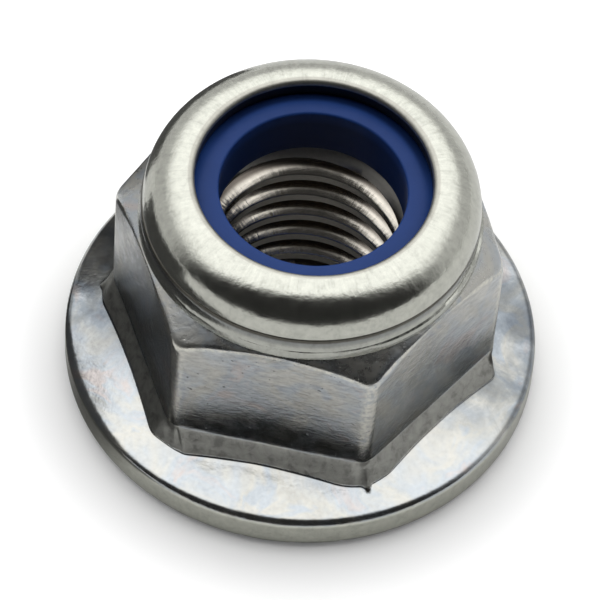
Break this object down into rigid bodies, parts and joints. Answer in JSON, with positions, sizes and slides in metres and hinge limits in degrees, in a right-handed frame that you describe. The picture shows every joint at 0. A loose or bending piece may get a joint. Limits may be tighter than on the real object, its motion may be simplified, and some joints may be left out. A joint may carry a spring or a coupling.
{
  "type": "serrated flange nut with locking ring",
  "caption": "Hexagon lock nut with a wide flange, ratchet serrations under the flange and a nylon locking ring rolled into its collar.",
  "frame": {"origin": "centre of the bearing face under the flange, where the thread's axis meets the clamped surface", "axes": "+Z along the thread's axis, from the flange towards the collar; two opposite hexagon corners on X and two flats square to Y"},
  "size_m": [0.0178, 0.0178, 0.011],
  "materials": {
    "zinc_steel": "bright zinc plate, blue-white passivated, cold-formed satin",
    "blue_nylon": "satin moulded nylon"
  },
  "bodies": {
    "root": {"nut_body": "zinc_steel", "nylon_insert": "blue_nylon"}
  },
  "joints": []
}
